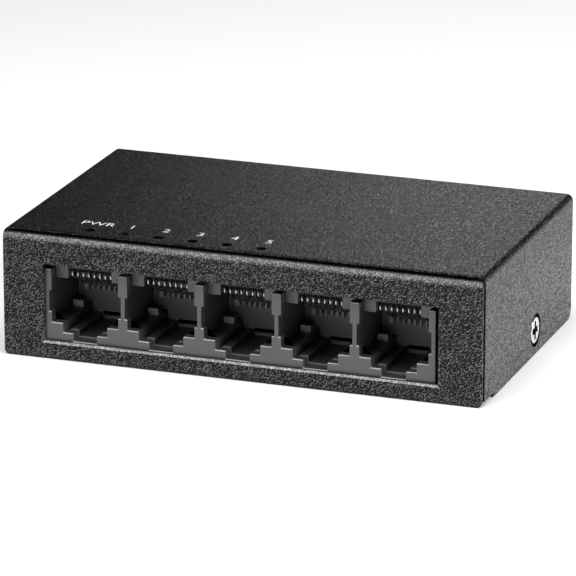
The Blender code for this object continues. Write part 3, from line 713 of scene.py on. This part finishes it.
def make_cover(material):
    """The folded top and its two sides."""
    inner = cover_skin(SHEET, SHEET, 5)[::-1]
    loops = []
    for depth, drop in COVER_EDGE + ((BACK - COVER_LOW.y, 0.0),):
        outline = cover_skin(0.0, drop) + inner
        loops.append([(x, COVER_LOW.y + depth, z) for x, z in outline])
    cover = loft(loops)
    reach = HALF_WIDTH + 1
    notch = block((-reach, FRONT, -1), (reach, FRONT + COVER_NOTCH_DEPTH, COVER_NOTCH_HEIGHT))
    corner_outline = [(BACK + 1, -1), (BACK + 1, COVER_CORNER)]
    corner_outline += arc((BACK - COVER_CORNER, COVER_CORNER), COVER_CORNER, 0, -90, 8)
    corner_outline += [(BACK - COVER_CORNER, -1)]
    cut(cover, notch, prism(corner_outline, "X", -reach, reach), front_undercut())
    screw_y = (SCREW_LOW.y + SCREW_HIGH.y) / 2
    screw_z = (SCREW_LOW.z + SCREW_HIGH.z) / 2
    for side in (-1, 1):
        profile = [(1.5, -1.2), (COUNTERSINK_RADIUS, -0.7), (COUNTERSINK_RADIUS, 0.4)]
        if side < 0:
            profile = [(radius, -height) for radius, height in profile[::-1]]
        cut(cover, turned(profile, (side * HALF_WIDTH, screw_y, screw_z), "X"))
    for x in LED_CENTRES:
        narrow = LED_HOLE_RADIUS / 2
        hole = [(LED_HOLE_RADIUS + LED_HOLE_SPREAD, -1.0), (narrow, narrow / LED_HOLE_SPREAD)]
        cut(cover, turned(hole, (x, FRONT + LED_HOLE_DEPTH, TOP), "Z", 32))
    round_edges(cover, 0.08)
    return dress(cover, "cover_shell", material, stands_for=["top_cover"])


def make_face_plate():
    """The front face, with its outer edges rolled back, most of all at the top."""
    half = TRAY_HIGH.x
    steps = 10
    loops = []
    for i in range(steps + 1):
        turn = math.pi / 2 * i / steps
        side_inset = FACE_SIDE_EDGE * (1 - math.sin(turn))
        top = TRAY_HIGH.z - FACE_TOP_ROLL * (1 - math.sin(turn))
        corner = FACE_CORNER - side_inset
        outline = rounded_rectangle(-half + side_inset, half - side_inset, side_inset, top, corner)
        loop = []
        for x, z in outline:
            share = min(max((z - top) / FACE_CORNER + 1, 0), 1)
            edge = FACE_SIDE_EDGE + (FACE_TOP_EDGE - FACE_SIDE_EDGE) * share
            loop.append((x, FRONT + edge * (1 - math.cos(turn)), z))
        loops.append(loop)
    loops.append([(x, FRONT + SHEET, z) for x, _, z in loops[-1]])
    return loft(loops)


def window_funnel(left, right):
    """A cutter that eases the front edges of the jack window, all but the upper one."""
    loops = []
    for depth, out in ((-0.2, WINDOW_EDGE + 0.2), (WINDOW_EDGE, 0.0)):
        low = WINDOW_LOW - out
        high = WINDOW_HIGH - 0.1
        corners = [(left - out, low), (right + out, low), (right + out, high), (left - out, high)]
        loops.append([(x, FRONT + depth, z) for x, z in corners])
    return loft(loops)


def make_tray(material):
    """Front face, floor, lip and rear wall, folded from one sheet."""
    half = TRAY_HALF
    tray = make_face_plate()
    floor_front = FRONT + FACE_SIDE_EDGE + 0.1
    floor = block((-half, floor_front, 0), (half, BACK - 1.5 * SHEET, SHEET))
    inner = half - SHEET
    lip_top = WALL_TOP - SHEET
    lip_outline = [(-half, SHEET / 2), (-half, WALL_TOP), (half, WALL_TOP), (half, SHEET / 2)]
    lip_outline += [(inner, SHEET / 2), (inner, lip_top), (-inner, lip_top), (-inner, SHEET / 2)]
    lip = prism(lip_outline, "Y", FRONT + SHEET / 2, FRONT + LIP_DEPTH)
    flange = BACK - REAR_FLANGE
    wall_outline = [(BACK - 2 * SHEET, 0)]
    wall_outline += arc((BACK - SHEET, SHEET), SHEET, -90, 0, 8)
    wall_outline += [(BACK, WALL_TOP), (flange, WALL_TOP), (flange, lip_top)]
    wall_outline += [(BACK - SHEET, lip_top), (BACK - SHEET, SHEET), (BACK - 2 * SHEET, SHEET)]
    join(tray, floor, lip, prism(wall_outline, "X", -half, half))
    screw_y = (SCREW_LOW.y + SCREW_HIGH.y) / 2
    for side in (-1, 1):
        inside, outside = sorted((side * inner, side * half))
        tab_low = (inside, screw_y - SCREW_TAB_HALF, SHEET / 2)
        join(tray, block(tab_low, (outside, screw_y + SCREW_TAB_HALF, SCREW_TAB_HIGH)))
    window_left = WINDOW_CENTRE - WINDOW_HALF
    window_right = WINDOW_CENTRE + WINDOW_HALF
    window = block((window_left, FRONT - 1, WINDOW_LOW), (window_right, FRONT + 3 * SHEET, WINDOW_HIGH))
    inlet_low = (INLET_LOW.x - INLET_GAP, BACK - 2 * SHEET, INLET_LOW.z - INLET_GAP)
    inlet = block(inlet_low, (INLET_HIGH.x + INLET_GAP, BACK + 1, INLET_HIGH.z + INLET_GAP))
    cut(tray, window_funnel(window_left, window_right), window, inlet)
    for side in (-1, 1):
        near, far = sorted((side * (half - FLOOR_RELIEF), side * (half + 1)))
        relief_high = (far, FRONT + COVER_NOTCH_DEPTH + 0.6, SHEET + 1)
        cut(tray, block((near, FRONT + LIP_DEPTH, -1), relief_high))
        x = side * KEYHOLE_X
        y = FRONT + KEYHOLE_DEPTH
        end = y - KEYHOLE_SLOT_LENGTH
        entry = turned([(KEYHOLE_RADIUS, -1), (KEYHOLE_RADIUS, 2)], (x, y, 0), "Z")
        slot = block((x - KEYHOLE_SLOT_HALF, end, -1), (x + KEYHOLE_SLOT_HALF, y, 2))
        tip = turned([(KEYHOLE_SLOT_HALF, -1.2), (KEYHOLE_SLOT_HALF, 2.2)], (x, end, 0), "Z", 32)
        cut(tray, entry, slot, tip)
    round_edges(tray, 0.10)
    return dress(tray, "tray_shell", material, stands_for=["base_tray"])


def make_legends(material):
    """Printed marks behind the indicator holes."""
    for name, text, x in zip(LED_NAMES, LEGENDS, LED_CENTRES):
        curve = bpy.data.curves.new(name, "FONT")
        curve.body = text
        curve.resolution_u = 4
        curve.extrude = 0.5
        curve.offset = LEGEND_THINNING
        letters = bpy.data.objects.new(name, curve)
        bpy.context.scene.collection.objects.link(letters)
        graph = bpy.context.evaluated_depsgraph_get()
        mesh = bpy.data.meshes.new_from_object(letters.evaluated_get(graph))
        bpy.data.objects.remove(letters)
        xs = [vert.co.x for vert in mesh.vertices]
        ys = [vert.co.y for vert in mesh.vertices]
        middle = Vector(((min(xs) + max(xs)) / 2, (min(ys) + max(ys)) / 2, -0.5))
        grow = LEGEND_HEIGHT / (max(ys) - min(ys)) * MM
        mesh.transform(Matrix.Translation(-middle))
        mesh.transform(Matrix.Diagonal((grow * LEGEND_SPREAD, grow, LEGEND_THICKNESS * MM, 1.0)))
        mesh.transform(Matrix.Translation(Vector((x, FRONT + LEGEND_DEPTH, TOP)) * MM))
        label = bpy.data.objects.new(name, mesh)
        bpy.context.scene.collection.objects.link(label)
        dress(label, f"legend_{text.lower()}", material)


def make_screw(name, node, side, material):
    """A countersunk cover screw with a cross recess."""
    low, high = box_mm(node)
    centre = Vector((high.x if side > 0 else low.x, (low.y + high.y) / 2, (low.z + high.z) / 2))
    radius = (high.z - low.z) / 2
    profile = [(1.2, -5.55), (1.2, -1.0), (1.3, -0.95), (radius, -0.16)]
    profile += [(radius - 0.02, -0.08), (radius - 0.08, -0.02), (radius - 0.18, 0.0)]
    if side < 0:
        profile = [(r, -height) for r, height in profile[::-1]]
    screw = turned(profile, centre, "X")
    facing = Matrix.Rotation(side * math.pi / 2, 4, "Y")
    for turn in (0, 90):
        bm = bmesh.new()
        bmesh.ops.create_cube(bm, size=1.0)
        bmesh.ops.scale(bm, vec=SCREW_CROSS, verts=bm.verts)
        for vert in bm.verts:
            if vert.co.z < 0:
                vert.co.x *= 0.45
                vert.co.y *= 0.6
        matrix = Matrix.Translation(centre) @ facing @ Matrix.Rotation(math.radians(turn), 4, "Z")
        bmesh.ops.transform(bm, matrix=matrix, verts=bm.verts)
        cut(screw, solid(bm))
    round_edges(screw, 0.05)
    return dress(screw, name, material, stands_for=[node])


# ------------------------------------------------------------ jack pieces


def mirrored(centre, right):
    """A closed outline from its right half, about a jack's centre."""
    outline = [(centre + x, z) for x, z in right]
    return outline + [(centre - x, z) for x, z in reversed(right)]


def stepped_mouth(centre, top):
    """Outline of one jack's mouth: latch channel, two ledges, side grooves."""
    return mirrored(centre, [
        (LATCH_HALF, LATCH_FLOOR),
        (LATCH_HALF, LEDGE_LOW),
        (LEDGE_HALF, LEDGE_LOW),
        (LEDGE_HALF, RAIL_HEIGHT),
        (MOUTH_HALF, RAIL_HEIGHT),
        (MOUTH_HALF, GROOVE_LOW),
        (GROOVE_HALF, GROOVE_LOW),
        (GROOVE_HALF, GROOVE_HIGH),
        (MOUTH_HALF, GROOVE_HIGH),
        (MOUTH_HALF, top),
    ])


def pit_section(centre, top):
    """Outline of the pit just behind a jack's mouth."""
    return mirrored(centre, [
        (LEDGE_HALF, PIT_FLOOR),
        (LEDGE_HALF, INNER_RAIL_HEIGHT),
        (GROOVE_HALF, INNER_RAIL_HEIGHT),
        (GROOVE_HALF, top),
    ])


def cavity_section(centre, top):
    """Outline of one jack's inside: channel, floor, grooves and the rails beside it."""
    return mirrored(centre, [
        (LATCH_HALF, CHANNEL_FLOOR),
        (LATCH_HALF, FLOOR_HEIGHT),
        (FLOOR_HALF, FLOOR_HEIGHT),
        (FLOOR_HALF, FLOOR_GROOVE),
        (LEDGE_HALF, FLOOR_GROOVE),
        (LEDGE_HALF, INNER_RAIL_HEIGHT),
        (GROOVE_HALF, INNER_RAIL_HEIGHT),
        (GROOVE_HALF, top),
    ])


def make_jack_block(material):
    """The gang of five jacks, moulded in one, with its ears and shelf on the board."""
    face = BLOCK_LOW.y
    back = face + BLOCK_LENGTH
    middle = (BLOCK_LOW.x + BLOCK_HIGH.x) / 2
    left = middle - BLOCK_HALF
    right = middle + BLOCK_HALF
    seat = BOARD_HIGH.z + BOARD_GAP
    gang = block((left, face, BLOCK_LOW.z), (right, back, BLOCK_HIGH.z))
    shelf = block((left + 1, back - 0.5, seat), (right - 1, BLOCK_HIGH.y, SHELF_HIGH))
    ears = block((BLOCK_LOW.x, face + EAR_START, seat), (BLOCK_HIGH.x, back - 1, SHELF_HIGH))
    join(gang, shelf, ears)
    frame_end = face + FRAME_LENGTH
    pit_end = face + PIT_END
    for centre in PORT_CENTRES:
        mouth = prism(stepped_mouth(centre, BLOCK_HIGH.z + 1), "Y", face - 1, frame_end)
        pit = prism(pit_section(centre, BLOCK_HIGH.z + 2), "Y", frame_end, pit_end)
        inside = prism(cavity_section(centre, BLOCK_HIGH.z + 3), "Y", pit_end, face + CAVITY_LENGTH)
        cut(gang, mouth, pit, inside)
        for side in (-1, 1):
            near, far = sorted((centre + side * STOP_NEAR, centre + side * STOP_FAR))
            start = face + STOP_START
            foot = INNER_RAIL_HEIGHT - 0.2
            join(gang, block((near, start, foot), (far, start + STOP_LENGTH, STOP_HIGH)))
    round_edges(gang, 0.16, segments=3)
    return dress(gang, "jack_block", material, stands_for=["port_housing"])


def wire_centres(centre):
    """Where the eight wires of a jack stand, from left to right."""
    return [centre + WIRE_PITCH * (i - (WIRE_COUNT - 1) / 2) for i in range(WIRE_COUNT)]


def make_carrier(number, centre, material):
    """The insert that closes a jack's roof: open in front of the wires, slotted behind them."""
    face = BLOCK_LOW.y
    low, high = box_mm(f"port_{number}_carrier")
    outline = [
        (COMB_START, COMB_LOW),
        (COMB_END, COMB_LOW),
        (COMB_END, COMB_ROOF),
        (REAR_COMB_END, COMB_ROOF),
        (REAR_COMB_END, high.z),
        (COMB_START, high.z),
    ]
    carrier = prism([(face + depth, z) for depth, z in outline], "X", low.x, high.x)
    rear_low = (centre - REAR_COMB_HALF, face + REAR_COMB_START, REAR_COMB_LOW)
    join(carrier, block(rear_low, (centre + REAR_COMB_HALF, face + REAR_COMB_END, COMB_ROOF + 0.2)))
    front_low = (centre - COMB_OPENING_HALF, face + COMB_START - 1, COMB_LOW - 1)
    front_high = (centre + COMB_OPENING_HALF, face + COMB_END + 0.5, COMB_OPENING_TOP)
    cut(carrier, block(front_low, front_high))
    for x in wire_centres(centre):
        slot_low = (x - SLOT_HALF, face + REAR_COMB_START - 0.5, REAR_COMB_LOW - 1)
        slot_high = (x + SLOT_HALF, face + REAR_COMB_END - 0.3, COMB_ROOF - 0.6)
        cut(carrier, block(slot_low, slot_high))
    round_edges(carrier, 0.07)
    name = f"port_{number}_comb"
    return dress(carrier, name, material, stands_for=[f"port_{number}_carrier"])


def wire_path():
    """Side view of a spring wire: from its pivot forward, round a loop and down to the back."""
    path = arc(LOOP_CENTRE, LOOP_RADIUS, 70, 246, 14)
    steps = 6
    start = Vector(path[-1])
    path += [tuple(start.lerp(Vector(WIRE_END), (i + 1) / steps)) for i in range(steps)]
    return path


def make_wires(number, centre, material):
    """Eight round spring wires and the bar that they are moulded in."""
    face = BLOCK_LOW.y
    path = [Vector((face + depth, z)) for depth, z in wire_path()]
    sides = 12
    bm = bmesh.new()
    for x in wire_centres(centre):
        rings = []
        for i, point in enumerate(path):
            along = (path[min(i + 1, len(path) - 1)] - path[max(i - 1, 0)]).normalized()
            ring = []
            for k in range(sides):
                turn = 2 * math.pi * k / sides
                out = WIRE_RADIUS * math.sin(turn)
                ring.append(bm.verts.new((
                    x + WIRE_RADIUS * math.cos(turn),
                    point.x - along.y * out,
                    point.y + along.x * out,
                )))
            rings.append(ring)
        for near, far in zip(rings, rings[1:]):
            for k in range(sides):
                bm.faces.new((near[k - 1], near[k], far[k], far[k - 1]))
        bm.faces.new(rings[0])
        bm.faces.new(rings[-1])
    bar = bmesh.ops.create_cube(bm, size=1.0)["verts"]
    span = WIRE_PITCH * (WIRE_COUNT - 1) + 2 * WIRE_RADIUS + 0.2
    bmesh.ops.scale(bm, vec=(span, WIRE_BAR, WIRE_BAR), verts=bar)
    bmesh.ops.translate(bm, vec=(centre, face + PIVOT[0], PIVOT[1]), verts=bar)
    wires = solid(bm)
    smooth(wires)
    body = f"port_{number}_springs"
    name = f"port_{number}_wires"
    return dress(wires, name, material, body, [f"port_{number}_contacts"])


# ------------------------------------------------- CAD pieces that stay


def keep(node, material, edge=0.08):
    """A CAD node that stays as it is, with softened edges and a real finish."""
    item = frame["nodes"][node]
    item.data.materials.clear()
    item.data.materials.append(material)
    weld = item.modifiers.new("welded", "WELD")
    weld.merge_threshold = 0.002 * MM
    flat = item.modifiers.new("whole faces", "DECIMATE")
    flat.decimate_type = "DISSOLVE"
    flat.angle_limit = math.radians(1.0)
    round_edges(item, edge)


def finish_inside():
    """Board, its parts and the power inlet."""
    keep("circuit_board", solder_mask(), 0.05)
    chips = ["switch_chip", "memory_chip", "regulator_chip"]
    for node in chips + [f"port_transformer_{i}" for i in PORTS]:
        low, high = box_mm(node)
        leads = Vector((0, CHIP_LEAD, 0))
        keep(node, chip_resin(low + leads, high - leads), 0.06)
    steel = bright_metal("zinc_steel", (0.62, 0.62, 0.64), 0.3)
    nickel = bright_metal("nickel_brass", (0.70, 0.68, 0.62), 0.3)
    can = bright_metal("drawn_can", (0.72, 0.73, 0.75), 0.3, (1.0, 1.0, 0.15))
    for i in range(1, 5):
        keep(f"board_screw_{i}", steel, 0.05)
        keep(f"board_spacer_{i}", nickel)
    for node in ("capacitor_1", "capacitor_2", "capacitor_3", "crystal"):
        keep(node, can)
    keep("heat_sink", bright_metal("extruded_aluminium", (0.60, 0.61, 0.63), 0.4, (6.0, 0.2, 6.0)))
    keep("thermal_pad", soft_matter("silicone_pad", (0.36, 0.41, 0.49), (0.46, 0.51, 0.59), 0.8, 2.5, 0.01))
    ferrite = soft_matter("ferrite", (0.035, 0.035, 0.04), (0.06, 0.06, 0.066), 0.7, 4.0, 0.01)
    keep("power_inductor", ferrite)
    keep("fuse", ferrite)
    lamp = soft_matter("lamp_resin", (0.72, 0.72, 0.66), (0.84, 0.84, 0.78), 0.3, 3.0, 0.003)
    for node in LED_NAMES:
        keep(node, lamp, 0.05)
    keep("light_guide", clear_resin(), 0.06)
    keep("power_inlet_body", moulded_plastic("inlet_plastic", 0.03, 0.42), 0.15)
    keep("power_inlet_pin", nickel, 0.1)
    keep("power_inlet_spring", bright_metal("spring_leaf", (0.78, 0.76, 0.72), 0.28), 0.04)


# ------------------------------------------------------ floor and lights


def make_floor():
    """A plain pale surface under the object."""
    bm = bmesh.new()
    bmesh.ops.create_circle(bm, cap_ends=True, radius=2500.0, segments=96)
    floor = solid(bm)
    floor.name = "floor"
    finish = Finish("pale_floor", (0.9, 0.9, 0.9), 0.9, Specular_IOR_Level=0.0)
    tone = finish.noise(0.004, detail=1.0)
    finish.shade(tone, (0.89, 0.89, 0.89), (0.91, 0.91, 0.91))
    floor.data.materials.append(finish.material)
    floor.location.z = -0.02 * MM


def make_softbox(name, place, target, size, radiance):
    """A soft rectangular light; its radiance is what a mirror would show of it."""
    light = bpy.data.lights.new(name, "AREA")
    light.shape = "RECTANGLE"
    light.size = size[0] * MM
    light.size_y = size[1] * MM
    light.energy = radiance * math.pi * light.size * light.size_y
    lamp = bpy.data.objects.new(name, light)
    bpy.context.scene.collection.objects.link(lamp)
    lamp.location = Vector(place) * MM
    aim = Vector(target) - Vector(place)
    lamp.rotation_euler = aim.to_track_quat("-Z", "Y").to_euler()
    lamp.visible_camera = False


def make_lights():
    """Soft lights around the object and a dim, even world."""
    world = bpy.data.worlds.new("studio")
    world.use_nodes = True
    world.node_tree.nodes["Background"].inputs["Color"].default_value = (1.0, 1.0, 1.0, 1.0)
    world.node_tree.nodes["Background"].inputs["Strength"].default_value = WORLD_LIGHT
    bpy.context.scene.world = world
    make_softbox("overhead", (20, -80, 520), (0, -20, 0), (420, 400), 4.2)
    make_softbox("right_fill", (430, -60, 330), (90, 20, 0), (260, 260), 10.5)
    make_softbox("front_card", (-190, -600, 180), (0, 0, 10), (340, 130), 4.0)
    make_softbox("edge_strip", (-175, -205, 500), (0, -20, 10), (420, 60), 14.0)
    make_softbox("back_card", (-70, 430, 185), (0, 0, 20), (130, 110), 3.3)


def make_camera():
    """The camera, with its roll about its own line of sight."""
    azimuth = math.radians(CAMERA_AZIMUTH)
    elevation = math.radians(CAMERA_ELEVATION)
    ahead = Vector((
        -math.sin(azimuth) * math.cos(elevation),
        math.cos(azimuth) * math.cos(elevation),
        -math.sin(elevation),
    ))
    data = bpy.data.cameras.new("camera")
    data.lens = CAMERA_LENS
    data.sensor_width = SENSOR
    data.clip_start = 0.01
    data.clip_end = 20.0
    camera = bpy.data.objects.new("camera", data)
    bpy.context.scene.collection.objects.link(camera)
    camera.location = Vector(CAMERA_PLACE) * MM
    level = ahead.to_track_quat("-Z", "Y").to_matrix()
    camera.rotation_euler = (level @ Matrix.Rotation(math.radians(CAMERA_ROLL), 3, "Z")).to_euler()
    bpy.context.scene.camera = camera
    bpy.context.scene.view_settings.view_transform = "Standard"


def main():
    """Every piece, then the floor, the lights and the camera."""
    paint = powder_coat()
    make_cover(paint)
    make_tray(paint)
    make_legends(printed_ink())
    plated = plated_screw(SCREW_HIGH.x)
    make_screw("side_screw_left", "cover_screw_left", -1, plated)
    make_screw("side_screw_right", "cover_screw_right", 1, plated)
    block_plastic = jack_plastic(BLOCK_LOW.y)
    # 0.25 is the rear combs' paler grey, painted light
    insert_plastic = comb_plastic(BLOCK_LOW.y, 0.085, 0.25)
    contact = spring_wire(BLOCK_LOW.y)
    make_jack_block(block_plastic)
    for number, centre in zip(PORTS, PORT_CENTRES):
        make_carrier(number, centre, insert_plastic)
        make_wires(number, centre, contact)
    finish_inside()
    make_floor()
    make_lights()
    make_camera()


main()
